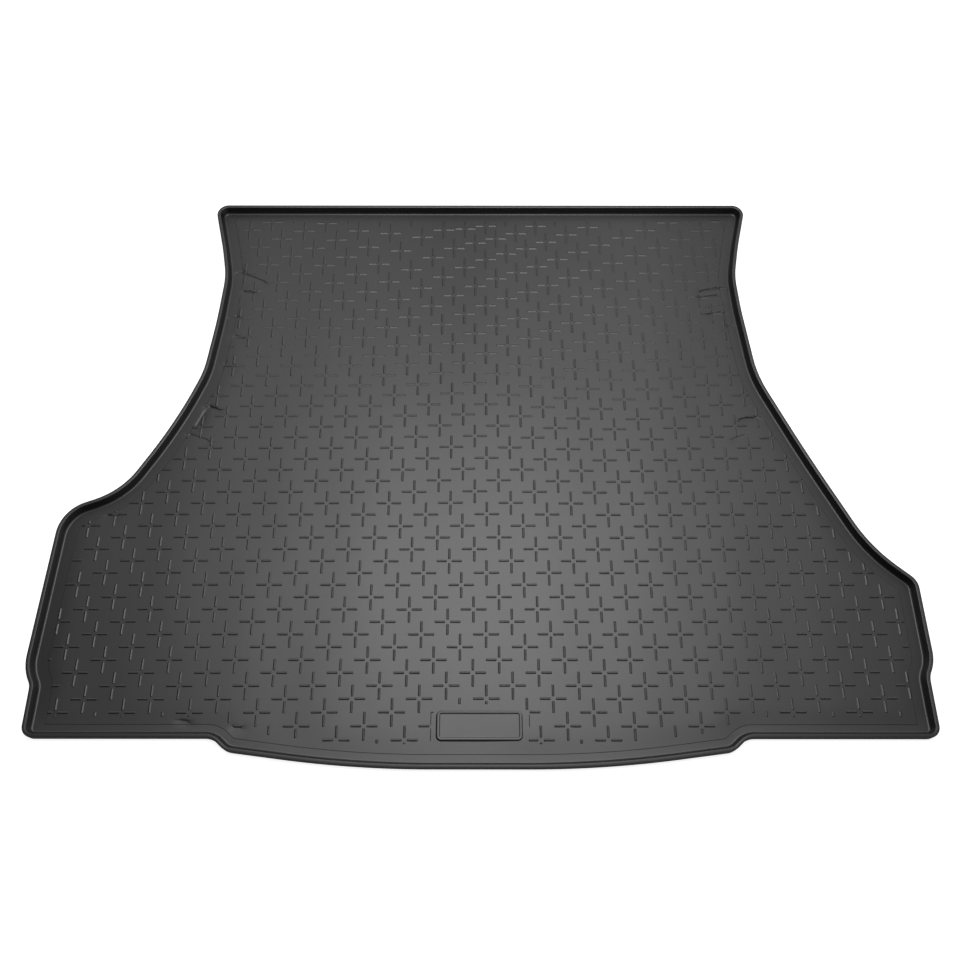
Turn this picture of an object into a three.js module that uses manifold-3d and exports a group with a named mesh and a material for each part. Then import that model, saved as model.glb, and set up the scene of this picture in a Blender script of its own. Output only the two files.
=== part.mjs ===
// A liner for the floor of a car's boot: a tray moulded in one piece from black rubber.
// It has a flat floor, a raised lip all round, a tread of small crosses and a plain badge plate.
// Lengths are in millimetres. +X is to the right and +Y towards the seats, as seen by a person who
// stands behind the car, and +Z is up. The origin is the middle of the underside.
import * as THREE from 'three';
import { mergeGeometries, mergeVertices } from 'three/addons/utils/BufferGeometryUtils.js';
import Module from 'manifold-3d';

// Floor and lip
const FLOOR_THICKNESS = 3;
const LIP_RISE = 11.6; // from the top of the floor to the rim
const LIP_FOOT_WIDTH = 11; // the lip's thickness where it meets the floor
const RIM_WIDTH = 6; // the lip's thickness at the top
const RIM_OUTER_RADIUS = 2;
const RIM_INNER_RADIUS = 1;
const LIP_FOOT_RADIUS = 3;

// Outline of the lip's outer wall: places of its edges, and radii of its rounded corners
const FAR_EDGE_Y = 514; // the edge against the seats
const FAR_HALF_WIDTH = 497.5;
const FAR_CORNER_RADIUS = 20;
const WAIST_HALF_WIDTH = 461; // between the wheel arches
const WAIST_Y = 352.5;
const WAIST_RADIUS = 180;
const POCKET_WALL_X = 686.5; // the side pockets are the liner's widest stretch
const NEAR_EDGE_Y = -470.5; // the edge at the tailgate, beside the bulge
const NEAR_LEFT_X = -672.5;
const NEAR_RIGHT_X = 675;
const NEAR_CORNER_RADIUS = 17.5;
const BULGE_Y = -514; // the near edge in the middle, where it bulges out
const BULGE_FLAT_HALF_WIDTH = 183; // where the bulge's slanted stretches would meet its middle
const BULGE_RADIUS = 1720;
const BULGE_HALF_WIDTH = 381.5; // to the middle of the step at each end of the bulge
const BULGE_STEP_RUN = 21.5;
const BULGE_STEP_DROP = 19.5;
const BULGE_STEP_RADIUS = 29;

// The tread field, a shade higher than the margin along the lip
const FIELD_RISE = 0.4;
const FIELD_SLOPE_WIDTH = 0.8;
const FIELD_MARGIN = 17; // bare floor between the lip and the field
const FIELD_NEAR_MARGIN = 10; // the same along the near edge

// The crosses stand on a square lattice that is turned against the liner
const CROSS_PITCH = 20; // a lattice step is two pitches one way and one pitch the other
const CROSS_ARM = 19.3; // from the middle of a cross to the tip of an arm
const CROSS_NOTCH = 2.9; // from the middle to the notch between two arms, along X and along Y
const CROSS_RISE = 1;
const CROSS_MARGIN = 19; // bare floor between the lip and the nearest tip
const FIRST_CROSS = new THREE.Vector2(9.7, -12.5);

// The badge plate, a low block with a sunk panel that is left plain
const BADGE_CENTRE = new THREE.Vector2(0.8, -451.5);
const BADGE_WIDTH = 129;
const BADGE_DEPTH = 45;
const BADGE_CORNER_RADIUS = 9;
const BADGE_RISE = 2;
const BADGE_DRAFT = 0.7; // how far its walls lean in
const BADGE_FRAME_WIDTH = 4;
const BADGE_PANEL_DEPTH = 1;
const BADGE_CLEARANCE = 8; // bare floor between the plate and the crosses

// How finely arcs are divided
const ARC_TOLERANCE = 0.35;
const OUTLINE_ARC_STEP = THREE.MathUtils.degToRad(22.5);
const SECTION_ARC_STEP = THREE.MathUtils.degToRad(90);
const SMALLEST_RADIUS = 1;

const SINK = 0.4; // how far an added body reaches into the floor below it
const RUBBER = { color: 0x2b2b2b, roughness: 0.62, metalness: 0 };

// The outline's corners, counter-clockwise from the far left one: x, y and radius of each
const LEFT_SIDE = [
  [-FAR_HALF_WIDTH, FAR_EDGE_Y, FAR_CORNER_RADIUS],
  [-473, 414, 550], // the far flank bends a little on its way to the waist
  [-WAIST_HALF_WIDTH, WAIST_Y, WAIST_RADIUS],
  [-466, 257, 1100], // the wall along the wheel arch, in long soft bends
  [-476, 152, 176],
  [-511.5, 51.5, 840],
  [-584, -75, 118], // foot of the wheel arch
  [-676.5, -110, 59], // far corner of the side pocket
  [-POCKET_WALL_X, -369.5, 84], // the wall steps in at the pocket's near end
  [NEAR_LEFT_X, -393.5, 24],
];
const NEAR_EDGE = [
  [NEAR_LEFT_X, NEAR_EDGE_Y, NEAR_CORNER_RADIUS],
  [-BULGE_HALF_WIDTH - BULGE_STEP_RUN / 2, NEAR_EDGE_Y, BULGE_STEP_RADIUS],
  [-BULGE_HALF_WIDTH + BULGE_STEP_RUN / 2, NEAR_EDGE_Y - BULGE_STEP_DROP, BULGE_STEP_RADIUS],
  [-BULGE_FLAT_HALF_WIDTH, BULGE_Y, BULGE_RADIUS],
  [BULGE_FLAT_HALF_WIDTH, BULGE_Y, BULGE_RADIUS],
  [BULGE_HALF_WIDTH - BULGE_STEP_RUN / 2, NEAR_EDGE_Y - BULGE_STEP_DROP, BULGE_STEP_RADIUS],
  [BULGE_HALF_WIDTH + BULGE_STEP_RUN / 2, NEAR_EDGE_Y, BULGE_STEP_RADIUS],
  [NEAR_RIGHT_X, NEAR_EDGE_Y, NEAR_CORNER_RADIUS],
];
const RIGHT_SIDE = [
  [NEAR_RIGHT_X, -379.5, 41], // the wall steps out to the side pocket
  [POCKET_WALL_X, -358, 87],
  [POCKET_WALL_X - 1, -228.6, 27], // far corner of the side pocket
  [621.7, -172.8, 233], // foot of the wheel arch
  [543, -11.5, 3160],
  [476.8, 144.5, 230],
  [464.2, 281.8, 650],
  [WAIST_HALF_WIDTH, WAIST_Y, WAIST_RADIUS],
  [474, 419.7, 670],
  [FAR_HALF_WIDTH, FAR_EDGE_Y, FAR_CORNER_RADIUS],
];

// A straight edge between two corners: its length, its direction and the normal that points inwards.
function edgeBetween(corner, next) {
  const along = next.point.clone().sub(corner.point);
  const length = along.length();
  along.normalize();
  return { length, along, inward: new THREE.Vector2(-along.y, along.x) };
}

// Adds to each corner the edges that meet there and the angle by which the outline turns left.
function withEdges(corners) {
  const edges = corners.map((corner, i) => edgeBetween(corner, corners[(i + 1) % corners.length]));
  return corners.map((corner, i) => {
    const before = edges.at(i - 1);
    const after = edges[i];
    const turn = Math.atan2(before.along.cross(after.along), before.along.dot(after.along));
    return { ...corner, before, after, turn };
  });
}

// The number of straight pieces that stand for a corner's arc.
function arcSteps(radius, turn, largestStep) {
  const finest = 2 * Math.acos(1 - Math.min(1, ARC_TOLERANCE / radius));
  return Math.max(1, Math.ceil(Math.abs(turn) / Math.min(finest, largestStep)));
}

// Corners from rows of x, y and radius. A radius of 0 leaves a corner sharp.
function makeCorners(rows, largestStep = OUTLINE_ARC_STEP) {
  const corners = rows.map(([x, y, radius]) => ({ point: new THREE.Vector2(x, y), radius }));
  return withEdges(corners).map(({ point, radius, turn }) => {
    return { point, radius, steps: radius > 0 ? arcSteps(radius, turn, largestStep) : 0 };
  });
}

// Moves each edge inwards by its distance and lets neighbouring edges meet again. The distances are
// one number, or a list with one for each edge. Every corner keeps its number of arc steps.
function inset(corners, distances) {
  const moved = (i) => (Array.isArray(distances) ? distances.at(i) : distances);
  return withEdges(corners).map(({ point, radius, steps, before, turn }, i) => {
    const first = moved(i - 1);
    const second = moved(i);
    const slide = (first === second ? 0 : (first - second) / Math.sin(turn)) - first * Math.tan(turn / 2);
    const corner = point.clone().addScaledVector(before.inward, first).addScaledVector(before.along, slide);
    const shrunk = radius - Math.sign(turn) * Math.max(first, second);
    return { point: corner, radius: Math.max(shrunk, SMALLEST_RADIUS), steps };
  });
}

// The points of one corner's arc, which uses at most its own share of the two edges.
function cornerArc(corner, previous, next) {
  const { point, radius, steps, before, after, turn } = corner;
  if (steps === 0) return [point];
  const own = tangentLength(corner);
  const shareBefore = before.length / (tangentLength(previous) + own);
  const shareAfter = after.length / (tangentLength(next) + own);
  const fitted = radius * Math.min(1, shareBefore, shareAfter);
  const side = Math.sign(turn);
  const centre = point.clone()
    .addScaledVector(before.along, -fitted * Math.tan(Math.abs(turn) / 2))
    .addScaledVector(before.inward, side * fitted);
  const start = Math.atan2(-side * before.inward.y, -side * before.inward.x);
  const arc = new THREE.EllipseCurve(centre.x, centre.y, fitted, fitted, start, start + turn, turn < 0);
  return arc.getPoints(steps);
}

// How much of an edge a corner's arc would use.
function tangentLength({ radius, steps, turn }) {
  return steps === 0 ? 0 : radius * Math.tan(Math.abs(turn) / 2);
}

// The outline with its corners rounded: one list of points for each corner.
function roundedCorners(corners) {
  const known = withEdges(corners);
  return known.map((corner, i) => cornerArc(corner, known.at(i - 1), known[(i + 1) % known.length]));
}

function rounded(corners) {
  return roundedCorners(corners).flat();
}

function atHeight(outline, z) {
  return outline.map((point) => new THREE.Vector3(point.x, point.y, z));
}

// A closed body through rings of points, from the lowest ring up and, on a tray, down again inside.
// It ends in a flat cap, or in the tip if one is given.
function loft(rings, tip) {
  const count = rings[0].length;
  const top = (rings.length - 1) * count;
  const cap = (ring) => THREE.ShapeUtils.triangulateShape(ring.map((p) => new THREE.Vector2(p.x, p.y)), []);
  const index = cap(rings[0]).flatMap(([a, b, c]) => [a, c, b]);
  for (let i = 0; i < count; i++) {
    const j = (i + 1) % count;
    for (let ring = 0; ring < top; ring += count) {
      index.push(ring + i, ring + j, ring + count + j);
      index.push(ring + i, ring + count + j, ring + count + i);
    }
    if (tip) index.push(top + i, top + j, top + count);
  }
  if (!tip) index.push(...cap(rings.at(-1)).flatMap((face) => face.map((corner) => top + corner)));
  const points = tip ? [...rings.flat(), tip] : rings.flat();
  const geometry = new THREE.BufferGeometry().setFromPoints(points);
  geometry.setIndex(index);
  return geometry;
}

// Section of the lip, from the underside's edge over the rim to the floor: points of distance
// inwards from the outer wall, and height. It is worked out as a closed outline that ends below.
function lipSection() {
  const rim = FLOOR_THICKNESS + LIP_RISE;
  const end = LIP_FOOT_WIDTH + FIELD_MARGIN;
  const corners = makeCorners([
    [0, 0, 0],
    [0, rim, RIM_OUTER_RADIUS],
    [RIM_WIDTH, rim, RIM_INNER_RADIUS],
    [LIP_FOOT_WIDTH, FLOOR_THICKNESS, LIP_FOOT_RADIUS],
    [end, FLOOR_THICKNESS, 0],
    [end, 0, 0],
  ], SECTION_ARC_STEP);
  return roundedCorners(corners).slice(0, -2).flat();
}

// The floor with its lip, up to the tread field in the middle.
function makeTray(outline) {
  const fieldMargins = outline.map((corner, i) => {
    const onNearEdge = i >= LEFT_SIDE.length && i < LEFT_SIDE.length + NEAR_EDGE.length - 1;
    return LIP_FOOT_WIDTH + (onNearEdge ? FIELD_NEAR_MARGIN : FIELD_MARGIN);
  });
  const field = inset(outline, fieldMargins);
  const rings = lipSection().map(({ x, y }) => atHeight(rounded(inset(outline, x)), y));
  rings.push(atHeight(rounded(field), FLOOR_THICKNESS));
  rings.push(atHeight(rounded(inset(field, FIELD_SLOPE_WIDTH)), FLOOR_THICKNESS + FIELD_RISE));
  return loft(rings);
}

function badgeCorners(clearance) {
  const x = BADGE_WIDTH / 2 + clearance;
  const y = BADGE_DEPTH / 2 + clearance;
  const radius = BADGE_CORNER_RADIUS + clearance;
  const rows = [[-x, -y], [x, -y], [x, y], [-x, y]];
  return makeCorners(rows.map(([dx, dy]) => [BADGE_CENTRE.x + dx, BADGE_CENTRE.y + dy, radius]));
}

// The badge plate: a low block whose frame stands round a sunk panel.
function makeBadge() {
  const field = FLOOR_THICKNESS + FIELD_RISE;
  const top = field + BADGE_RISE;
  const frame = BADGE_DRAFT + BADGE_FRAME_WIDTH;
  const levels = [
    [0, field - SINK],
    [BADGE_DRAFT, top],
    [frame, top],
    [frame + BADGE_DRAFT, top - BADGE_PANEL_DEPTH],
  ];
  return loft(levels.map(([distance, z]) => atHeight(rounded(inset(badgeCorners(0), distance)), z)));
}

// Distances from a point to an outline along a direction.
function hits(outline, from, direction) {
  return outline.flatMap((start, i) => {
    const edge = outline[(i + 1) % outline.length].clone().sub(start);
    const offset = start.clone().sub(from);
    const slant = direction.cross(edge);
    const place = offset.cross(direction) / slant;
    const distance = offset.cross(edge) / slant;
    return place >= 0 && place < 1 && distance > 0 ? [distance] : [];
  });
}

function isInside(outline, point) {
  return hits(outline, point, new THREE.Vector2(1, 0)).length % 2 === 1;
}

// One cross, a low pyramid on a star with four arms. An arm that would leave the tread is shorter.
function makeCross(centre, limits) {
  const directions = [[1, 0], [0, 1], [-1, 0], [0, -1]].map(([x, y]) => new THREE.Vector2(x, y));
  const widening = 1 + SINK / CROSS_RISE;
  const star = directions.flatMap((direction, i) => {
    const room = Math.min(CROSS_ARM, ...limits.flatMap((outline) => hits(outline, centre, direction)));
    const arm = direction.clone().multiplyScalar(Math.max(room, 2 * CROSS_NOTCH) * widening);
    const diagonal = direction.clone().add(directions[(i + 1) % directions.length]);
    return [arm.add(centre), diagonal.multiplyScalar(CROSS_NOTCH * widening).add(centre)];
  });
  const field = FLOOR_THICKNESS + FIELD_RISE;
  return loft([atHeight(star, field - SINK)], new THREE.Vector3(centre.x, centre.y, field + CROSS_RISE));
}

// The tread: every cross whose middle lies inside the margin and clear of the badge.
function makeTread(outline) {
  const zone = rounded(inset(outline, LIP_FOOT_WIDTH + CROSS_MARGIN));
  const badgeZone = rounded(badgeCorners(BADGE_CLEARANCE));
  const reach = Math.ceil(2 * POCKET_WALL_X / CROSS_PITCH);
  const crosses = [];
  for (let row = -reach; row <= reach; row++) {
    for (let column = -reach; column <= reach; column++) {
      const step = new THREE.Vector2(2 * column - row, column + 2 * row);
      const centre = step.multiplyScalar(CROSS_PITCH).add(FIRST_CROSS);
      if (!isInside(zone, centre) || isInside(badgeZone, centre)) continue;
      crosses.push(makeCross(centre, [zone, badgeZone]));
    }
  }
  return mergeGeometries(crosses);
}

const wasm = await Module();
wasm.setup();

function toSolid(geometry) {
  const merged = mergeVertices(geometry);
  const vertProperties = Float32Array.from(merged.attributes.position.array);
  const triVerts = Uint32Array.from(merged.index.array);
  return new wasm.Manifold(new wasm.Mesh({ numProp: 3, vertProperties, triVerts }));
}

function toGeometry(solid) {
  const { vertProperties, triVerts } = solid.getMesh();
  const geometry = new THREE.BufferGeometry();
  geometry.setAttribute('position', new THREE.BufferAttribute(Float32Array.from(vertProperties), 3));
  geometry.setIndex(new THREE.BufferAttribute(Uint32Array.from(triVerts), 1));
  return geometry;
}

// The whole liner, with the middle of its underside at the origin.
function makeLiner() {
  const outline = makeCorners([...LEFT_SIDE, ...NEAR_EDGE, ...RIGHT_SIDE]);
  const tray = toSolid(makeTray(outline));
  const liner = toGeometry(tray.add(toSolid(makeBadge())).add(toSolid(makeTread(outline))));
  liner.computeBoundingBox();
  const middle = liner.boundingBox.getCenter(new THREE.Vector3());
  liner.translate(-middle.x, -middle.y, 0);
  liner.computeVertexNormals();
  return liner;
}

const liner = new THREE.Mesh(makeLiner(), new THREE.MeshStandardMaterial({ ...RUBBER, flatShading: true }));
liner.name = 'boot_liner';

const part = new THREE.Group();
part.add(liner);

export default part;
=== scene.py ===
import math

import bmesh
import bpy
import numpy as np
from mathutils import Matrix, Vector, geometry


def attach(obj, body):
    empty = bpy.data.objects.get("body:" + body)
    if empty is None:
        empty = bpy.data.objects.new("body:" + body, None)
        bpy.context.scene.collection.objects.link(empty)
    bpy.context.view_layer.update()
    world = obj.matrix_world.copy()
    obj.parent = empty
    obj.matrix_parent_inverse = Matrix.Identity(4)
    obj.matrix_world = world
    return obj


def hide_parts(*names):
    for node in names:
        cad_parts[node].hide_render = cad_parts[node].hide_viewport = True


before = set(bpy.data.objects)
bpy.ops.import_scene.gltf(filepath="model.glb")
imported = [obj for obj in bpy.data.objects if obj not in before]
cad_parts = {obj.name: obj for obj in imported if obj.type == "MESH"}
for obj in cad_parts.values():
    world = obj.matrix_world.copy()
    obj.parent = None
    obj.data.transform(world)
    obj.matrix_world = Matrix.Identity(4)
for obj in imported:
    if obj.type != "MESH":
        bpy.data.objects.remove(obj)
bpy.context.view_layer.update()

# The camera stands at the tailgate, about 1.5 m above the boot floor, and looks down at the liner.
# It has a slight wide angle, so the near edge of the liner looks wider than the far one.
CAMERA_PLACE = (-0.00086, -0.73744, 1.47695)
CAMERA_TURN = (24.972, -0.033, 0.022)  # degrees about X, Y and Z, from straight down
LENS = 36.979
SENSOR = 36.0

lens = bpy.data.cameras.new("camera")
lens.lens = LENS
lens.sensor_width = SENSOR
camera = bpy.data.objects.new("camera", lens)
camera.location = CAMERA_PLACE
camera.rotation_euler = [math.radians(angle) for angle in CAMERA_TURN]
bpy.context.scene.collection.objects.link(camera)
bpy.context.scene.camera = camera

# The tray: a floor 3 mm thick with a lip all round, pressed in one piece in a steel mould from black TPE, a
# soft rubber filled with soot. The outline follows the boot's trim, with a waist between the wheel arches, a
# pocket behind each arch and a bulge at the tailgate. Sizes are in millimetres.
MM = 0.001
FLOOR = 3.0
LIP_FOOT_WIDTH = 11.0
RIM_WIDTH = 6.0
RIM_SHOULDER, RIM_CROWN, CROWN_RADIUS = 13.9, 14.82, 5.0  # the rim's top is slightly round
UNDER_ROUND, OUTER_ROUND, INNER_ROUND, FOOT_ROUND = 0.8, 1.4, 1.2, 3.0  # radii from the underside to the foot
RIM_FALL = 0.7  # along the sides the rim's outer half falls away by this much
SIDE_CROWN, NEAR_CROWN = 0.45, 0.2  # how much of the crown is left there
NEAR_FALL = 0.6  # along the tailgate the rim leans outwards by this much
RIM_START, RIM_BLEND = 10.0, 3.0  # both start at this height, and the fall grows over this much
CROWN_START = 0.3  # the crown is lowered from this far below the shoulder
NEAR_REACH, NEAR_POWER = 400.0, 4  # distance to the tailgate's share of these, which grows with this power
FOOT_END = 13.6  # where the hollow at the lip's foot has run out into the flat margin
NEAR_LIP, BULGE_LIP = 0.86, 0.78  # the lip is narrower along the tailgate
SIDE_DIP, SIDE_DIP_WIDTH = 1.2, 28.0  # the margin falls a little towards the lip at the sides
SIDE_DIP_START, SIDE_DIP_RUN = -462.0, 30.0  # from this y on, growing over this length
FAR_DIP, FAR_DIP_WIDTH = 0.6, 16.0  # and by this much more at the far edge
FAR_DIP_START, FAR_DIP_RUN = 450.0, 45.0
DIP_POWER = 1.3
FIELD_RISE = 0.4
FIELD_SLOPE = 0.7

# Corners of the outer wall, anticlockwise from the far left one: x, y and radius
LEFT_SIDE = [
    (-497.5, 514, 20),
    (-473, 414, 550),
    (-461, 352.5, 180),  # the waist
    (-466, 257, 1100),
    (-477, 152, 176),
    (-512.8, 51.5, 840),
    (-585.2, -75, 118),  # foot of the wheel arch
    (-676.5, -110, 59),
    (-686.5, -369.5, 84),
    (-672.5, -393.5, 24),
]
NEAR_EDGE = [
    (-672.5, -470.5, 17.5),
    (-392.25, -470.5, 29),
    (-370.75, -490, 29),
    (-183, -514, 1720),  # the bulge
    (183, -514, 1720),
    (370.75, -490, 29),
    (392.25, -470.5, 29),
    (675, -470.5, 17.5),
]
RIGHT_SIDE = [
    (675, -379.5, 41),
    (686.5, -358, 87),
    (685.5, -228.6, 27),
    (621.7, -172.8, 233),  # foot of the wheel arch
    (545, -11.5, 3160),
    (478.4, 144.5, 230),
    (465.2, 281.8, 650),
    (462, 352.5, 180),  # the waist
    (475, 419.7, 670),
    (498.5, 514, 20),
]
# From the outer wall to the raised field
LEFT_MARGIN, NEAR_MARGIN, RIGHT_MARGIN, FAR_MARGIN = 30.0, 20.5, 28.0, 26.0
LONGEST_STEP, LARGEST_TURN = 8.0, math.radians(6)  # along the outline
SECTION_STEP, SECTION_TURN = 0.6, math.radians(18)  # and along the lip's section


def edges_of(points):
    """Length, direction and inward normal of the edge after each corner, and the left turn at each."""
    along = np.roll(points, -1, 0) - points
    length = np.linalg.norm(along, axis=1)
    along = along / length[:, None]
    inward = np.c_[-along[:, 1], along[:, 0]]
    before = np.roll(along, 1, 0)
    cross = before[:, 0] * along[:, 1] - before[:, 1] * along[:, 0]
    return length, along, inward, np.arctan2(cross, (before * along).sum(1))


def make_corners(rows, longest=LONGEST_STEP, largest_turn=LARGEST_TURN):
    """Corners with the number of steps that stands for each one's arc."""
    points = np.array([row[:2] for row in rows], float)
    turn = np.abs(edges_of(points)[3])
    corners = []
    for row, point, angle in zip(rows, points, turn):
        steps = math.ceil(max(angle / largest_turn, row[2] * angle / longest)) if row[2] else 0
        corners.append((point, row[2], steps))
    return corners


def inset(corners, distances):
    """Moves the edges inwards, each by its own distance or all by one, and lets neighbours meet again."""
    points = np.array([corner[0] for corner in corners])
    _, along, inward, turn = edges_of(points)
    second = np.broadcast_to(np.asarray(distances, float), len(corners))
    first = np.roll(second, 1)
    slide = np.where(first == second, 0, (first - second) / np.sin(turn)) - first * np.tan(turn / 2)
    moved = points + np.roll(inward, 1, 0) * first[:, None] + np.roll(along, 1, 0) * slide[:, None]
    shrink = np.sign(turn) * np.maximum(first, second)
    return [(moved[i], max(radius - shrink[i], 1) if steps else 0, steps)
            for i, (_, radius, steps) in enumerate(corners)]


def corner_arcs(corners):
    """The points of each corner's arc, which uses at most its own share of the two edges."""
    points = np.array([corner[0] for corner in corners])
    length, along, inward, turn = edges_of(points)
    tangent = np.array([corner[1] for corner in corners]) * np.tan(np.abs(turn) / 2)
    arcs = []
    for i, (point, radius, steps) in enumerate(corners):
        if steps == 0:
            arcs.append([point])
            continue
        after = (i + 1) % len(corners)
        shares = (length[i - 1] / (tangent[i - 1] + tangent[i]), length[i] / (tangent[after] + tangent[i]))
        fit = min(1, *shares)
        side = np.sign(turn[i])
        centre = point - along[i - 1] * fit * tangent[i] + inward[i - 1] * side * fit * radius
        spoke = -side * inward[i - 1] * fit * radius
        angles = np.linspace(0, turn[i], steps + 1)
        arcs.append([centre + (spoke[0] * math.cos(a) - spoke[1] * math.sin(a),
                               spoke[0] * math.sin(a) + spoke[1] * math.cos(a)) for a in angles])
    return arcs


outline = make_corners(LEFT_SIDE + NEAR_EDGE + RIGHT_SIDE)
outer_arcs = corner_arcs(outline)
straight_steps = []
for i, arc in enumerate(outer_arcs):
    straight = np.linalg.norm(outer_arcs[(i + 1) % len(outline)][0] - arc[-1])
    straight_steps.append(max(1, round(straight / LONGEST_STEP)))


def ring(corners):
    """One closed line along the outline, with the same number of points for every inset."""
    arcs = corner_arcs(corners)
    points = []
    for i, arc in enumerate(arcs):
        run = arcs[(i + 1) % len(arcs)][0] - arc[-1]
        points += list(arc)
        points += [arc[-1] + run * k / straight_steps[i] for k in range(1, straight_steps[i])]
    return np.array(points)


outer_ring = ring(outline)
middle = (outer_ring.max(0) + outer_ring.min(0)) / 2  # the CAD liner is centred in the same way

section = make_corners([  # distance inwards, height and radius, from the outer wall's foot over the rim
    (0, 0, UNDER_ROUND),
    (0, RIM_SHOULDER, OUTER_ROUND),
    (RIM_WIDTH / 2, RIM_CROWN, CROWN_RADIUS),
    (RIM_WIDTH, RIM_SHOULDER, INNER_ROUND),
    (LIP_FOOT_WIDTH, FLOOR, FOOT_ROUND),
    (FOOT_END, FLOOR, 0),
    (FOOT_END, 0, 0),  # only closes the section
], SECTION_STEP, SECTION_TURN)
lip_section = [point for arc in corner_arcs(section)[:-1] for point in arc]
BULGE = len(LEFT_SIDE) + 3  # the long edge between the bulge's two corners


def by_edge(left, near, right, far, bulge):
    """One value for each edge of the outline, from those for its sides."""
    values = [left] * len(LEFT_SIDE) + [near] * (len(NEAR_EDGE) - 1) + [right] * (len(RIGHT_SIDE) + 1)
    values[BULGE] = bulge
    values[-1] = far
    return np.array(values)


lip_share = by_edge(1, NEAR_LIP, 1, 1, BULGE_LIP)
field = inset(outline, by_edge(LEFT_MARGIN, NEAR_MARGIN, RIGHT_MARGIN, FAR_MARGIN, NEAR_MARGIN))
foot_ring = ring(inset(outline, FOOT_END * lip_share))
step_ring = ring(field)
field_ring = ring(inset(field, FIELD_SLOPE))

# The sheet doesn't lie dead flat: it keeps soft waves from the roll it was packed in, a few ripples along
# the far edge, and short creases at the waist where it was bent.
WAVES = [  # direction in degrees, wavelength, height, phase
    (4, 260, 0.30, 0.4),
    (-7, 148, 0.16, 2.1),
    (12, 95, 0.06, 4.0),
    (78, 420, 0.25, 1.0),
    (96, 190, 0.08, 5.2),
]
RIPPLES = [  # x, y, direction across in degrees, half width across, half width along, height
    (28, 400, 0, 26, 60, 1.6),
    (150, 392, 20, 30, 60, 1.4),
    (212, 350, 10, 26, 70, 1.3),
    (-60, 428, 0, 30, 40, 0.9),
]
CREASES = [  # two ends and depth
    ((400, 327), (431, 334), 2.1),
    ((436, 333), (451, 335), 1.0),
    ((401, 314), (431, 318), 2.1),
    ((415, 293), (426, 295), 1.0),
    ((414, 278), (433, 281), 1.8),
    ((440, 253), (449, 254), 1.0),
    ((443, 63), (467, 68), 1.9),
    ((427, 26), (447, 33), 0.8),
    ((-426, 362), (-393, 347), 1.4),
    ((-425, 326), (-412, 324), 1.9),
    ((-446, 367), (-436, 368), 1.1),
    ((-450, 270), (-435, 270), 1.1),
    ((-436, 231), (-419, 227), 1.1),
    ((-445, 168), (-436, 167), 1.1),
    ((-463, 87), (-448, 82), 2.1),
    ((-481, 50), (-465, 87), 1.6),
    ((-490, 34), (-458, 22), 0.8),
    ((-443, -444), (-433, -445), 0.8),
    ((-363, -453), (-354, -454), 0.8),
    ((-604, -115), (-594, -116), 0.8),
]
MEAN_RISE = 0.45  # of the waves' middle
FREE_WIDTH = 45.0  # the lip holds the sheet flat, and the waves and ripples grow over this width
CREASE_STEEP, CREASE_SOFT = 1.7, 7.0  # width on the far side of the line and on the near side
DEEPEST = 2.2  # no place lies lower than this, because the sheet is only a little thicker


def inside(polygon, points):
    """Which of the points lie inside a closed line."""
    result = np.zeros(len(points), bool)
    for (ax, ay), (bx, by) in zip(polygon, np.roll(polygon, -1, 0)):
        if ay != by:
            spans = (ay > points[:, 1]) != (by > points[:, 1])
            result ^= spans & (points[:, 0] < ax + (points[:, 1] - ay) / (by - ay) * (bx - ax))
    return result


def distance_to(line, points, closed=True):
    """Distance of each point to the nearest place on a line."""
    nearest = np.full(len(points), 1e9)
    ends = np.roll(line, -1, 0) if closed else line[1:]
    for start, end in zip(line, ends):
        run = end - start
        t = np.clip(((points - start) @ run) / max(run @ run, 1e-9), 0, 1)
        nearest = np.minimum(nearest, np.linalg.norm(points - start - t[:, None] * run, axis=1))
    return nearest


def dip(y, gap):
    """How far the margin falls at places with these y and these distances from the lip's foot."""
    side = SIDE_DIP * np.clip((y - SIDE_DIP_START) / SIDE_DIP_RUN, 0, 1)
    far = FAR_DIP * np.clip((y - FAR_DIP_START) / FAR_DIP_RUN, 0, 1)
    return (side * np.clip(1 - gap / SIDE_DIP_WIDTH, 0, 1) ** DIP_POWER
            + far * np.clip(1 - gap / FAR_DIP_WIDTH, 0, 1) ** DIP_POWER)


def lie(points):
    """How far above a flat sheet the real one lies at these places, in millimetres."""
    height = np.zeros(len(points))
    gap = distance_to(foot_ring, points)
    for angle, length, size, phase in WAVES:
        way = np.array((math.cos(math.radians(angle)), math.sin(math.radians(angle))))
        height += size * np.sin(points @ way * 2 * math.pi / length + phase)
    height += MEAN_RISE
    for x, y, angle, across, along, size in RIPPLES:
        way = np.array((math.cos(math.radians(angle)), math.sin(math.radians(angle))))
        offset = points - (x, y)
        u, v = offset @ way / across, offset @ (-way[1], way[0]) / along
        height += size * np.exp(-(u * u + v * v))
    away = np.clip(gap / FREE_WIDTH, 0, 1)
    height *= away * away * (3 - 2 * away)
    height -= dip(points[:, 1], gap)
    for start, end, depth in CREASES:
        start, end = np.array(start, float), np.array(end, float)
        gap = distance_to(np.array((start, end)), points, closed=False)
        side = (points - start) @ (start[1] - end[1], end[0] - start[0])
        height -= depth * np.exp(-(gap / np.where(side > 0, CREASE_STEEP, CREASE_SOFT)) ** 2)
    return np.maximum(height, -DEEPEST)


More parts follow.
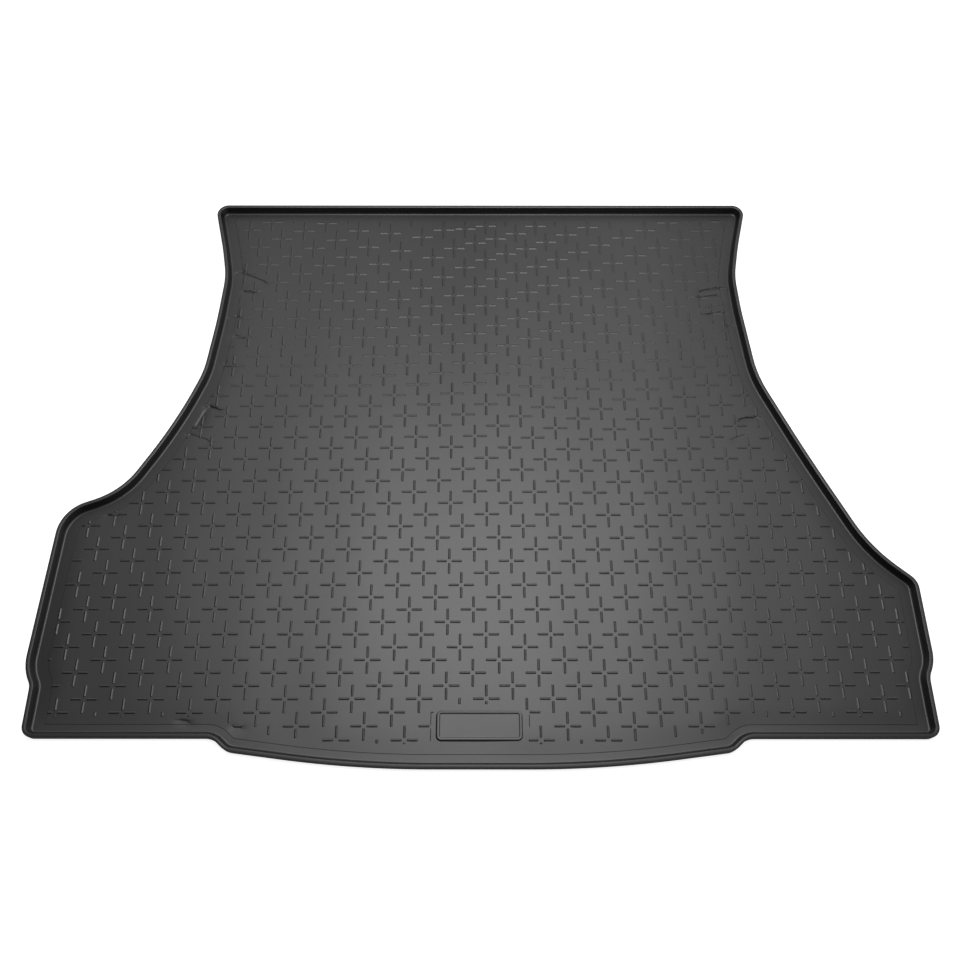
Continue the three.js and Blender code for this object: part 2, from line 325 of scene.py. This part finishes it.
# The floor's points: an even grid of triangles on the field, rows along the margin, and fine rows beside each
# crease, all joined to triangles that keep the foot's line and the field's step as edges.
GRID = 9.0
REACH_X, REACH_Y = 690, 520  # just past the liner's edges
FIELD_GAP, CREASE_GAP = 3.5, 8.0  # no grid point is nearer than this to the field's edge or to a crease
MARGIN_ROWS = (0.08, 0.17, 0.35, 0.6, 0.85)  # shares of the way from the lip's foot to the field
CREASE_ROWS = (-6, -3, -1, 0, 0.6, 1.2, 1.8, 2.5, 3.5, 6)  # distances to the side of a crease's line
CREASE_STEP, FEWEST_STEPS = 2.0, 6
OVERRUN = 0.15  # the rows run past a crease's ends by this share of its length
ON_EDGE = 0.02  # a point as near as this to the field's edge lies on it
KEEP_INSIDE, TOLERANCE = 1, 1e-5  # the triangulation keeps what lies inside its loops

xs = np.arange(-REACH_X, REACH_X, GRID)
ys = np.arange(-REACH_Y, REACH_Y, GRID * math.sqrt(0.75))
grid = np.array([(x + (row % 2) * GRID / 2, y) for row, y in enumerate(ys) for x in xs])
grid = grid[inside(field_ring, grid)]
grid = grid[distance_to(field_ring, grid) > FIELD_GAP]
margin_points = [foot_ring + (step_ring - foot_ring) * share for share in MARGIN_ROWS]
fine = []
for start, end, _ in CREASES:
    line = np.array((start, end), float)
    grid = grid[distance_to(line, grid, closed=False) > CREASE_GAP]
    run = line[1] - line[0]
    length = np.linalg.norm(run)
    side = np.array((-run[1], run[0])) / length
    for t in np.linspace(-OVERRUN, 1 + OVERRUN, max(FEWEST_STEPS, int(length / CREASE_STEP))):
        fine += [line[0] + run * t + side * offset for offset in CREASE_ROWS]
flat_points = np.vstack([foot_ring, step_ring, field_ring, *margin_points, grid, fine])
count = len(foot_ring)
loops = [(base + i, base + (i + 1) % count) for base in (0, count, 2 * count) for i in range(count)]
found = geometry.delaunay_2d_cdt([Vector(p) for p in flat_points], loops, [], KEEP_INSIDE, TOLERANCE)
floor_xy = np.array([tuple(p) for p in found[0]])
on_field = inside(field_ring, floor_xy) | (distance_to(field_ring, floor_xy) < ON_EDGE)
floor_z = FLOOR + FIELD_RISE * on_field + lie(floor_xy)

# The lip is one line round the liner for each point of its section, from the outer wall's foot to the floor
MERGE = 2e-6  # metres
TRAY_SHARP = 24  # degrees

tray = bmesh.new()
rings = []
foot_dip = dip(foot_ring[:, 1], 0)
tangent = np.roll(outer_ring, -1, 0) - np.roll(outer_ring, 1, 0)
side_share = (tangent[:, 1] / np.linalg.norm(tangent, axis=1)) ** 2
near_share = np.clip(-outer_ring[:, 1] / NEAR_REACH, 0, 1) ** NEAR_POWER * (1 - side_share)
crown_share = 1 - side_share * (1 - SIDE_CROWN) - near_share * (1 - NEAR_CROWN)
crown_foot = RIM_SHOULDER - CROWN_START
for distance, z in lip_section:
    line = ring(inset(outline, distance * lip_share)) - middle
    # The inner wall's foot goes down with the margin
    follow = np.clip((2 * FLOOR - z) / FLOOR, 0, 1) if distance > RIM_WIDTH else 0
    outer = np.clip(1 - 2 * distance / RIM_WIDTH, 0, 1) ** 2 * np.clip((z - RIM_START) / RIM_BLEND, 0, 1)
    levels = z - foot_dip * follow - RIM_FALL * side_share * outer
    levels = levels - max(z - crown_foot, 0) * (1 - crown_share)
    if z > RIM_START:
        levels = levels - NEAR_FALL * near_share * np.clip(1 - distance / RIM_WIDTH, 0, 1)
    rings.append([tray.verts.new((x * MM, y * MM, level * MM)) for (x, y), level in zip(line, levels)])
for lower, upper, start, end in zip(rings, rings[1:], lip_section, lip_section[1:]):
    for i in range(count):
        j = (i + 1) % count
        face = tray.faces.new((lower[i], lower[j], upper[j], upper[i]))
        is_wall = max(start[1], end[1]) > 2 * FLOOR and min(start[1], end[1]) < RIM_SHOULDER - OUTER_ROUND
        face.material_index = int(is_wall)  # the walls take the smoother rubber
tray.faces.new(list(reversed(rings[0])))
floor_verts = [tray.verts.new(((x - middle[0]) * MM, (y - middle[1]) * MM, z * MM))
               for (x, y), z in zip(floor_xy, floor_z)]
for corners in found[2]:
    tray.faces.new([floor_verts[i] for i in corners])
bmesh.ops.remove_doubles(tray, verts=tray.verts, dist=MERGE)
bmesh.ops.triangulate(tray, faces=[face for face in tray.faces if len(face.verts) > 4])
bmesh.ops.recalc_face_normals(tray, faces=tray.faces)

# The rubber takes the eroded face of the steel mould: a very dark grey with a broad, silky shine and a grain
# too fine to see from here. Painted sheen: a lighter grey is painted into the colour in soft stripes over the
# far half and in faint clouds over the near half.
RUBBER_BLACK = "#080808"
# the lighter grey of the painted sheen
RUBBER_PAINTED_SHEEN = "#262626"
GRAIN = 1.5 * MM  # the real grain is about 0.3 mm; it is drawn coarser so that it shows close up
CLOUD = 260 * MM  # width of the faint clouds where the surface is a little duller
CLOUD_LOW, CLOUD_HIGH = 0.35, 0.65  # the part of the clouds' noise that is used
NEAR_SHEEN_LOW, NEAR_SHEEN_HIGH = 0.1, 0.3  # strength of the painted sheen in the near half, which follows the clouds
SHEEN_STRIPES_START, SHEEN_STRIPES_FULL = -0.1, 0.3  # y in metres between which the stripes take over from it
STRIPES_REACH = 0.5  # x in metres from the middle
STRIPES = [  # x in metres and strength of the painted sheen in the far half
    (-0.50, 0.20), (-0.36, 0.85), (-0.25, 0.45), (-0.17, 0.65), (-0.04, 0.00),
    (0.07, 0.62), (0.14, 0.40), (0.29, 1.00), (0.42, 0.15), (0.50, 0.30),
]


def linear(code):
    """A colour written as sRGB hex, as the linear RGBA that shaders take."""
    parts = [int(code[i:i + 2], 16) / 255 for i in (1, 3, 5)]
    return [c / 12.92 if c <= 0.04045 else ((c + 0.055) / 1.055) ** 2.4 for c in parts] + [1]


def add_node(tree, kind, settings=None, **links):
    """Adds a node, sets its properties and sets or links its inputs, whose names have _ for a space."""
    node = tree.nodes.new(kind)
    for name, value in (settings or {}).items():
        setattr(node, name, value)
    for name, value in links.items():
        socket = node.inputs[int(name[1:])] if name[1:].isdigit() else node.inputs[name.replace("_", " ")]
        if isinstance(value, bpy.types.NodeSocket):
            tree.links.new(value, socket)
        else:
            socket.default_value = value
    return node


def new_material(name):
    """An empty material, its tree and its output node."""
    material = bpy.data.materials.new(name)
    material.use_nodes = True
    tree = material.node_tree
    tree.nodes.clear()
    return material, tree, tree.nodes.new("ShaderNodeOutputMaterial")


def moulded_rubber(name, least_rough, most_rough, grain_depth, painted_sheen_share=1.0):
    """Rubber as it comes out of the mould, with a roughness between two values and a share of the painted
    sheen.
    """
    material, tree, output = new_material(name)
    place = add_node(tree, "ShaderNodeTexCoord").outputs["Object"]
    cloud = add_node(tree, "ShaderNodeTexNoise", Vector=place, Scale=1 / CLOUD, Detail=3.0, Roughness=0.5)
    dull = add_node(tree, "ShaderNodeMapRange", Value=cloud.outputs[0], From_Min=CLOUD_LOW,
                    From_Max=CLOUD_HIGH, To_Min=least_rough, To_Max=most_rough)
    sides = add_node(tree, "ShaderNodeSeparateXYZ", _0=place)
    across = add_node(tree, "ShaderNodeMapRange", Value=sides.outputs[0], From_Min=-STRIPES_REACH,
                      From_Max=STRIPES_REACH)
    stripes = add_node(tree, "ShaderNodeValToRGB", Fac=across.outputs[0])
    ramp = stripes.color_ramp
    ramp.interpolation = "B_SPLINE"
    while len(ramp.elements) < len(STRIPES):
        ramp.elements.new(0.5)
    for stop, (x, strength) in zip(ramp.elements, STRIPES):
        stop.position = (x + STRIPES_REACH) / (2 * STRIPES_REACH)
        stop.color = (strength, strength, strength, 1)
    far = add_node(tree, "ShaderNodeMapRange", Value=sides.outputs[1], From_Min=SHEEN_STRIPES_START,
                   From_Max=SHEEN_STRIPES_FULL)
    near_sheen = add_node(tree, "ShaderNodeMapRange", Value=cloud.outputs[0], From_Min=CLOUD_LOW,
                    From_Max=CLOUD_HIGH, To_Min=NEAR_SHEEN_LOW, To_Max=NEAR_SHEEN_HIGH)
    # Painted sheen: how much of the lighter grey goes in, by the clouds in the near half and by the stripes
    # in the far half
    painted_sheen = add_node(tree, "ShaderNodeMix", {"data_type": "FLOAT"}, _0=far.outputs[0],
                     _2=near_sheen.outputs[0], _3=stripes.outputs[0])
    greyed = add_node(tree, "ShaderNodeMath", {"operation": "MULTIPLY"}, _0=painted_sheen.outputs[0],
                      _1=painted_sheen_share)
    tint = add_node(tree, "ShaderNodeMix", {"data_type": "RGBA"}, _0=greyed.outputs[0],
                    _6=linear(RUBBER_BLACK), _7=linear(RUBBER_PAINTED_SHEEN))
    grain = add_node(tree, "ShaderNodeTexVoronoi", Vector=place, Scale=1 / GRAIN)
    bump = add_node(tree, "ShaderNodeBump", Strength=1.0, Distance=grain_depth, Height=grain.outputs[0])
    shader = add_node(tree, "ShaderNodeBsdfPrincipled", Base_Color=tint.outputs[2],
                      Roughness=dull.outputs[0], IOR=1.58, Normal=bump.outputs[0])
    tree.links.new(shader.outputs[0], output.inputs[0])
    return material


# TPE from the eroded mould: silky, so that the floor and the rim carry a wide, even shine
liner_rubber = moulded_rubber("black TPE rubber, moulded", least_rough=0.498, most_rough=0.508,
                              grain_depth=0.02 * MM)
# TPE that slid along the mould's steep walls: smoother, and nearly black where it faces nothing bright; it
# takes a tenth of the painted sheen
lip_rubber = moulded_rubber("black TPE rubber, smoother lip", least_rough=0.33, most_rough=0.34,
                            grain_depth=0.01 * MM, painted_sheen_share=0.1)

tray_mesh = bpy.data.meshes.new("liner_tray")
tray.to_mesh(tray_mesh)
tray.free()
tray_mesh.shade_smooth()
tray_mesh.set_sharp_from_angle(angle=math.radians(TRAY_SHARP))
tray_mesh.materials.append(liner_rubber)
tray_mesh.materials.append(lip_rubber)
liner_tray = bpy.data.objects.new("liner_tray", tray_mesh)
bpy.context.scene.collection.objects.link(liner_tray)
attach(liner_tray, "root")
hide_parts("boot_liner")

# The tread: low rounded dashes, moulded with the floor, four to a cross. The crosses stand on a square
# lattice that is turned against the liner, and the mould cuts them off along the margin and at the badge.
PITCH = 20.0  # a lattice step is two pitches one way and one the other
FIRST_CROSS = np.array((8.6, -12.75))
DASHES = [  # direction, start and end from the middle of the cross
    ((1, 0), 3.7, 20.2), ((-1, 0), 3.7, 20.2), ((0, 1), 3.2, 21.4), ((0, -1), 3.2, 21.4),
]
DASH_WIDTH = 4.7  # at its foot, which lies a little below the floor's face
DASH_HEIGHT = 1.0
DASH_SUNK = 0.15
DASH_ROOF = 1.3  # power of the fall from the ridge: 1 is a straight roof, 2 a round back
END_SHARE = 0.5  # the ends are steeper than the flanks
DRIFT = [  # the far rows stray from the lattice: x, y, half widths along x and y, shifts along x and y
    (165, 476, 400, 351, 9.4, -40.0),
    (184, 503, 151, 371, -17.5, 21.8),
    (-252, 261, 195, 251, 4.2, 6.6),
    (-21, 510, 138, 400, -2.4, 39.9),
    (-19, 500, 114, 62, 1.0, -28.8),
    (407, 181, 91, 192, 2.5, 13.9),
    (600, -429, 231, 145, -4.5, 1.9),
    (-116, 507, 75, 98, -2.3, 40.0),
    (-71, -98, 159, 223, 3.2, -1.7),
    (-20, -420, 330, 40, 0.0, 1.2),
    (80, -450, 150, 60, 1.4, 0.0),
]
# From the outer wall to where the dashes are cut off
LEFT_BORDER, NEAR_BORDER, RIGHT_BORDER, FAR_BORDER, BULGE_BORDER = 29.3, 32.0, 30.0, 29.0, 35.5
SHORTEST_DASH = 2.3
LATTICE_REACH = 40  # lattice steps each way from the first cross, more than the liner needs
FAR_SHARE = 0.17  # the far half's dashes are wider by this share
FAR_START, FAR_RUN = 50.0, 150.0  # from this y on, growing over this length
BADGE_PATCH = [(-71.6, -484.5), (72.9, -484.5), (72.9, -420.1), (-71.6, -420.1)]  # no dashes there
PATCH_RADIUS = 19.0
SLIVERS = [  # x, y and length of the dashes that the patch cuts lengthwise
    (-72.5, -441.7, 18.2), (-72.5, -464.6, 18.2), (73.4, -444.8, 18.2),
]
SLIVER_SHARE = 0.3  # of a dash's width
DASH_SIDES, DASH_STEPS, DASH_TOP = 10, 3, 0.1  # corners round a dash, rows up it, and its ridge's share
DASH_SHARP = 12  # degrees; keeps each flank's shine even from end to end

tread_zone = ring(inset(outline, by_edge(LEFT_BORDER, NEAR_BORDER, RIGHT_BORDER, FAR_BORDER, BULGE_BORDER)))
badge_zone = np.vstack(corner_arcs(make_corners([(*corner, PATCH_RADIUS) for corner in BADGE_PATCH])))


def cuts(polygon, start, way):
    """Distances from a place at which a straight line in a direction crosses a closed line."""
    edge = np.roll(polygon, -1, 0) - polygon
    offset = polygon - start
    slant = way[0] * edge[:, 1] - way[1] * edge[:, 0]
    slant = np.where(slant == 0, 1e-12, slant)
    place = (offset[:, 0] * way[1] - offset[:, 1] * way[0]) / slant
    distance = (offset[:, 0] * edge[:, 1] - offset[:, 1] * edge[:, 0]) / slant
    return distance[(place >= 0) & (place < 1)]


def stray(centre):
    """A cross's place, moved as the far rows stray."""
    shift = np.zeros(2)
    for x, y, across, along, dx, dy in DRIFT:
        u, v = (centre[0] - x) / across, (centre[1] - y) / along
        shift += np.array((dx, dy)) * math.exp(-u ** 2 - v ** 2)
    return centre + shift


candidates = []  # x, y, length, turn and share of the full width
for row in range(-LATTICE_REACH, LATTICE_REACH):
    for column in range(-LATTICE_REACH, LATTICE_REACH):
        centre = stray(FIRST_CROSS + np.array((2 * column - row, column + 2 * row)) * PITCH)
        if abs(centre[0]) > REACH_X or abs(centre[1]) > REACH_Y:
            continue
        for way, start, end in DASHES:
            way = np.array(way, float)
            stops = [start, end]
            stops += [d for zone in (tread_zone, badge_zone) for d in cuts(zone, centre, way)
                      if start < d < end]
            stops.sort()
            candidates += [(*(centre + way * (a + b) / 2), b - a, 0.0 if way[0] else math.pi / 2, 1.0)
                           for a, b in zip(stops, stops[1:]) if b - a > SHORTEST_DASH]
candidates = np.array(candidates)
dashes = candidates[inside(tread_zone, candidates[:, :2]) & ~inside(badge_zone, candidates[:, :2])]
dashes[:, 4] += FAR_SHARE * np.clip((dashes[:, 1] - FAR_START) / FAR_RUN, 0, 1)
dashes = np.vstack([dashes, [(x, y, length, math.pi / 2, SLIVER_SHARE) for x, y, length in SLIVERS]])

points = bpy.data.meshes.new("dash_places")
points.from_pydata([((x - middle[0]) * MM, (y - middle[1]) * MM, (FLOOR + FIELD_RISE - DASH_SUNK) * MM)
                    for x, y in dashes[:, :2]], [], [])
attributes = {"dash_length": dashes[:, 2] * MM, "dash_turn": dashes[:, 3], "dash_share": dashes[:, 4]}
for name, values in attributes.items():
    points.attributes.new(name, "FLOAT", "POINT").data.foreach_set("value", values)

tree = bpy.data.node_groups.new("tread dashes", "GeometryNodeTree")
tree.interface.new_socket("Geometry", in_out="INPUT", socket_type="NodeSocketGeometry")
tree.interface.new_socket("Width", in_out="INPUT", socket_type="NodeSocketFloat")
tree.interface.new_socket("Height", in_out="INPUT", socket_type="NodeSocketFloat")
tree.interface.new_socket("Material", in_out="INPUT", socket_type="NodeSocketMaterial")
tree.interface.new_socket("Geometry", in_out="OUTPUT", socket_type="NodeSocketGeometry")
given = tree.nodes.new("NodeGroupInput")

# One dash of unit size: a stump of a cone whose rows are lifted to the dash's round roof
stump = add_node(tree, "GeometryNodeMeshCone", {"fill_type": "NGON"}, Vertices=DASH_SIDES,
                 Side_Segments=DASH_STEPS, Radius_Top=DASH_TOP, Radius_Bottom=1.0, Depth=1.0)
here = add_node(tree, "GeometryNodeInputPosition")
parts = add_node(tree, "ShaderNodeSeparateXYZ", _0=here.outputs[0])
flat = add_node(tree, "ShaderNodeCombineXYZ", X=parts.outputs[0], Y=parts.outputs[1])
spread = add_node(tree, "ShaderNodeVectorMath", {"operation": "DOT_PRODUCT"}, _0=flat.outputs[0],
                  _1=flat.outputs[0])
fall = add_node(tree, "ShaderNodeMath", {"operation": "POWER"}, _0=spread.outputs["Value"],
                _1=DASH_ROOF / 2)
rise = add_node(tree, "ShaderNodeMath", {"operation": "SUBTRACT"}, _0=1.0, _1=fall.outputs[0])
arched = add_node(tree, "ShaderNodeCombineXYZ", X=parts.outputs[0], Y=parts.outputs[1], Z=rise.outputs[0])
dome = add_node(tree, "GeometryNodeSetPosition", Geometry=stump.outputs["Mesh"], Position=arched.outputs[0])

# Each vertex is marked -1 or 1 for the end it belongs to
end = add_node(tree, "ShaderNodeMath", {"operation": "SIGN"}, _0=parts.outputs[0])
marked = add_node(tree, "GeometryNodeStoreNamedAttribute", {"data_type": "FLOAT", "domain": "POINT"},
                  Geometry=dome.outputs[0], Name="dash_end", Value=end.outputs[0])
length, turn, which, share = [
    add_node(tree, "GeometryNodeInputNamedAttribute", {"data_type": "FLOAT"}, Name=name).outputs[0]
    for name in ("dash_length", "dash_turn", "dash_end", "dash_share")]

# A dash stands at every point, turned and sized as the point says
half_width = add_node(tree, "ShaderNodeMath", {"operation": "MULTIPLY"}, _0=given.outputs["Width"], _1=0.5)
radius = add_node(tree, "ShaderNodeMath", {"operation": "MULTIPLY"}, _0=half_width.outputs[0], _1=share)
half_length = add_node(tree, "ShaderNodeMath", {"operation": "MULTIPLY"}, _0=length, _1=0.5)
steep = add_node(tree, "ShaderNodeMath", {"operation": "MULTIPLY"}, _0=radius.outputs[0], _1=END_SHARE)
end_radius = add_node(tree, "ShaderNodeMath", {"operation": "MINIMUM"}, _0=steep.outputs[0],
                      _1=half_length.outputs[0])
depth = add_node(tree, "ShaderNodeMath", {"operation": "ADD"}, _0=given.outputs["Height"],
                 _1=DASH_SUNK * MM)
size = add_node(tree, "ShaderNodeCombineXYZ", X=end_radius.outputs[0], Y=radius.outputs[0],
                Z=depth.outputs[0])
rotation = add_node(tree, "ShaderNodeCombineXYZ", Z=turn)
placed = add_node(tree, "GeometryNodeInstanceOnPoints", Points=given.outputs["Geometry"],
                  Instance=marked.outputs[0], Rotation=rotation.outputs[0], Scale=size.outputs[0])
real = add_node(tree, "GeometryNodeRealizeInstances", Geometry=placed.outputs[0])

# Its ends are drawn apart to the dash's length
stretch = add_node(tree, "ShaderNodeMath", {"operation": "SUBTRACT"}, _0=half_length.outputs[0],
                   _1=end_radius.outputs[0])
shift = add_node(tree, "ShaderNodeMath", {"operation": "MULTIPLY"}, _0=stretch.outputs[0], _1=which)
cosine = add_node(tree, "ShaderNodeMath", {"operation": "COSINE"}, _0=turn)
sine = add_node(tree, "ShaderNodeMath", {"operation": "SINE"}, _0=turn)
along_x = add_node(tree, "ShaderNodeMath", {"operation": "MULTIPLY"}, _0=cosine.outputs[0],
                   _1=shift.outputs[0])
along_y = add_node(tree, "ShaderNodeMath", {"operation": "MULTIPLY"}, _0=sine.outputs[0],
                   _1=shift.outputs[0])
offset = add_node(tree, "ShaderNodeCombineXYZ", X=along_x.outputs[0], Y=along_y.outputs[0])
drawn = add_node(tree, "GeometryNodeSetPosition", Geometry=real.outputs[0], Offset=offset.outputs[0])
smooth = add_node(tree, "GeometryNodeSetShadeSmooth", Geometry=drawn.outputs[0])
coated = add_node(tree, "GeometryNodeSetMaterial", Geometry=smooth.outputs[0],
                  Material=given.outputs["Material"])
result = tree.nodes.new("NodeGroupOutput")
tree.links.new(coated.outputs[0], result.inputs["Geometry"])

source = bpy.data.objects.new("dash_source", points)
bpy.context.scene.collection.objects.link(source)
modifier = source.modifiers.new("tread dashes", "NODES")
modifier.node_group = tree
sockets = {item.name: item.identifier for item in tree.interface.items_tree if item.in_out == "INPUT"}
modifier[sockets["Width"]] = DASH_WIDTH * MM
modifier[sockets["Height"]] = DASH_HEIGHT * MM
modifier[sockets["Material"]] = liner_rubber

# The made dashes become a plain mesh that lies as the floor does
evaluated = source.evaluated_get(bpy.context.evaluated_depsgraph_get())
dash_mesh = bpy.data.meshes.new_from_object(evaluated)
bpy.data.objects.remove(source)
co = np.zeros(len(dash_mesh.vertices) * 3)
dash_mesh.vertices.foreach_get("co", co)
co = co.reshape(-1, 3)
co[:, 2] += lie(co[:, :2] / MM + middle) * MM
dash_mesh.vertices.foreach_set("co", co.ravel())
dash_mesh.update()
dash_mesh.set_sharp_from_angle(angle=math.radians(DASH_SHARP))
tread_dashes = bpy.data.objects.new("tread_dashes", dash_mesh)
bpy.context.scene.collection.objects.link(tread_dashes)
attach(tread_dashes, "root")
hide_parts("boot_liner")

# The badge plate: a low block near the tailgate, moulded with the floor from the same TPE, with a narrow
# frame round a sunk panel. The panel is smooth and bare.
BADGE_CENTRE = np.array((-0.5, -452.3))
BADGE_SIZE = np.array((130.3, 45.5))
BADGE_RISE = 2.0
BADGE_SUNK = 0.4
BADGE_ROUND = 9.0
WALL_WIDTHS = np.array((2.7, 2.6, 1.4, 2.6))  # near, right, far and left
FRAME_WIDTHS = np.array((3.0, 2.9, 2.2, 3.1))
INNER_WALL = 1.1
PANEL_DEPTH = 1.0
BADGE_STEP = 1.0  # along the corners' arcs
BADGE_SHARP = 30  # degrees

badge_rectangle = np.array([(-1, -1), (1, -1), (1, 1), (-1, 1)]) * BADGE_SIZE / 2 + BADGE_CENTRE
badge_corners = make_corners([(x, y, BADGE_ROUND) for x, y in badge_rectangle], BADGE_STEP)
top = FLOOR + FIELD_RISE + BADGE_RISE
panel = top - PANEL_DEPTH
frame_end = WALL_WIDTHS + FRAME_WIDTHS
badge_levels = [  # distance inwards and height; the small steps round the frame's edges
    (0 * WALL_WIDTHS, FLOOR + FIELD_RISE - BADGE_SUNK),
    (0.9 * WALL_WIDTHS, top - 0.25),
    (WALL_WIDTHS, top - 0.06),
    (WALL_WIDTHS + 0.3, top),
    (frame_end - 0.2, top),
    (frame_end, top - 0.05),
    (frame_end + 0.15, top - 0.15),
    (frame_end + 0.85 * INNER_WALL, panel + 0.08),
    (frame_end + INNER_WALL, panel),
    (frame_end + 2 * INNER_WALL, panel),
]
badge = bmesh.new()
badge_rings = []
lift = float(lie(BADGE_CENTRE[None])[0])  # the plate lies as the floor under its middle does
for distance, z in badge_levels:
    line = np.vstack(corner_arcs(inset(badge_corners, distance))) - middle
    badge_rings.append([badge.verts.new((x * MM, y * MM, (z + lift) * MM)) for x, y in line])
for lower, upper in zip(badge_rings, badge_rings[1:]):
    for i in range(len(lower)):
        j = (i + 1) % len(lower)
        badge.faces.new((lower[i], lower[j], upper[j], upper[i]))
badge.faces.new(list(reversed(badge_rings[0])))
badge.faces.new(badge_rings[-1])
bmesh.ops.recalc_face_normals(badge, faces=badge.faces)
badge_mesh = bpy.data.meshes.new("badge_plate")
badge.to_mesh(badge_mesh)
badge.free()
badge_mesh.shade_smooth()
badge_mesh.set_sharp_from_angle(angle=math.radians(BADGE_SHARP))
# TPE from a polished insert in the mould: as silky as the floor, with half its grain
badge_rubber = moulded_rubber("black TPE rubber, polished mould", least_rough=0.48, most_rough=0.52,
                              grain_depth=0.01 * MM)
badge_mesh.materials.append(badge_rubber)
badge_plate = bpy.data.objects.new("badge_plate", badge_mesh)
bpy.context.scene.collection.objects.link(badge_plate)
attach(badge_plate, "root")
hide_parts("boot_liner")

# The studio: pale grey paper on the floor, a big soft box overhead and a little behind the liner, and walls
# that are pale at the far end only. Camera rays alone see the floor's white and the white behind it, because
# all that stands in the studio is black rubber, whose silky shine would turn grey with a white all round.
FLOOR_PAPER = "#b8b8b8"
FLOOR_GLOW = 0.88
FLOOR_REACH = 9.0
FLOOR_BELOW = 0.0004  # the paper lies this far under the liner
SOFT_BOX_PLACE = (0.022, 0.169, 1.50)
SOFT_BOX_SIZE = 0.926
SOFT_BOX_POWER = 28.2
FAR_WALL, FAR_WALL_EDGE = 1.1, 0.8  # its white, and the y of a ray's direction from which it is whole
RIGHT_WALL = 0.35  # how much lighter the right is than the middle, and the left darker
DARK_ROOM = 0.01

# Matt paper, whose glow for the camera makes it the photo's even white
paper, tree, output = new_material("pale paper, matt")
rays = add_node(tree, "ShaderNodeLightPath")
matt = add_node(tree, "ShaderNodeBsdfDiffuse", Color=linear(FLOOR_PAPER))
seen = add_node(tree, "ShaderNodeMath", {"operation": "MULTIPLY"}, _0=rays.outputs["Is Camera Ray"],
                _1=FLOOR_GLOW)
glow = add_node(tree, "ShaderNodeEmission", Color=(1, 1, 1, 1), Strength=seen.outputs[0])
both = add_node(tree, "ShaderNodeAddShader", _0=matt.outputs[0], _1=glow.outputs[0])
tree.links.new(both.outputs[0], output.inputs[0])

ground_mesh = bpy.data.meshes.new("studio_floor")
ground_mesh.from_pydata([(x * FLOOR_REACH, y * FLOOR_REACH, -FLOOR_BELOW)
                         for x, y in ((-1, -1), (1, -1), (1, 1), (-1, 1))], [], [(0, 1, 2, 3)])
ground_mesh.materials.append(paper)
studio_floor = bpy.data.objects.new("studio_floor", ground_mesh)
bpy.context.scene.collection.objects.link(studio_floor)

lamp = bpy.data.lights.new("soft_box", "AREA")
lamp.shape = "SQUARE"
lamp.size = SOFT_BOX_SIZE
lamp.energy = SOFT_BOX_POWER
soft_box = bpy.data.objects.new("soft_box", lamp)
soft_box.location = SOFT_BOX_PLACE
soft_box.visible_camera = False
bpy.context.scene.collection.objects.link(soft_box)

world = bpy.data.worlds.new("studio")
bpy.context.scene.world = world
world.use_nodes = True
tree = world.node_tree
tree.nodes.clear()
rays = add_node(tree, "ShaderNodeLightPath")
way = add_node(tree, "ShaderNodeTexCoord").outputs["Generated"]
sides = add_node(tree, "ShaderNodeSeparateXYZ", _0=way)
far_wall = add_node(tree, "ShaderNodeMapRange", Value=sides.outputs[1], From_Min=0.0,
                    From_Max=FAR_WALL_EDGE, To_Min=DARK_ROOM, To_Max=FAR_WALL)
right_wall = add_node(tree, "ShaderNodeMapRange", Value=sides.outputs[0], From_Min=-1.0, From_Max=1.0,
                      To_Min=-RIGHT_WALL, To_Max=RIGHT_WALL)
walls = add_node(tree, "ShaderNodeMath", {"operation": "ADD"}, _0=far_wall.outputs[0],
                 _1=right_wall.outputs[0])
lit = add_node(tree, "ShaderNodeMath", {"operation": "MAXIMUM"}, _0=walls.outputs[0], _1=DARK_ROOM)
level = add_node(tree, "ShaderNodeMix", {"data_type": "FLOAT"}, _0=rays.outputs["Is Camera Ray"],
                 _2=lit.outputs[0], _3=1.0)
sky = add_node(tree, "ShaderNodeBackground", Color=(1, 1, 1, 1), Strength=level.outputs[0])
add_node(tree, "ShaderNodeOutputWorld", Surface=sky.outputs[0])

bpy.context.scene.view_settings.view_transform = "Standard"
